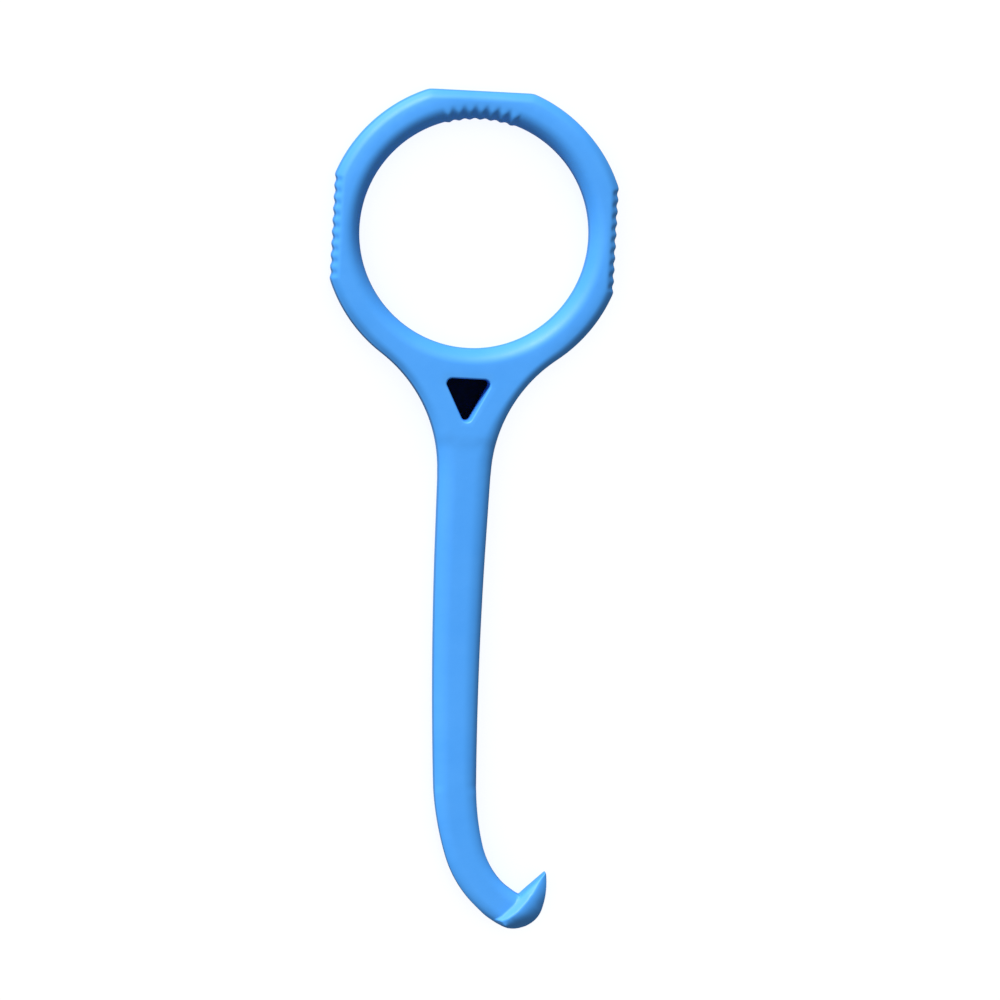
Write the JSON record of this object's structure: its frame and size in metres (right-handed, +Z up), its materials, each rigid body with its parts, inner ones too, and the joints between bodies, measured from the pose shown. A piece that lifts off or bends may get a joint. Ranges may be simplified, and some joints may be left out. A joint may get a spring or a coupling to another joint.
{
  "type": "clear aligner removal hook",
  "caption": "Slim one-piece plastic pull tool: a finger ring with flats and grip ribs, a neck with a small triangular hole, and a shaft bent into a J hook with a pointed claw.",
  "frame": {"origin": "on the surface that the tool lies on, under the middle of its length and of the ring's width", "axes": "+Z up through the thickness of the tool lying flat, +Y along the shaft from the hook towards the finger ring, +X towards the side that the hook turns to"},
  "size_m": [0.0306, 0.09, 0.005],
  "materials": {
    "blue_plastic": "satin moulded blue plastic"
  },
  "bodies": {
    "root": {"aligner_hook": "blue_plastic"}
  },
  "joints": []
}
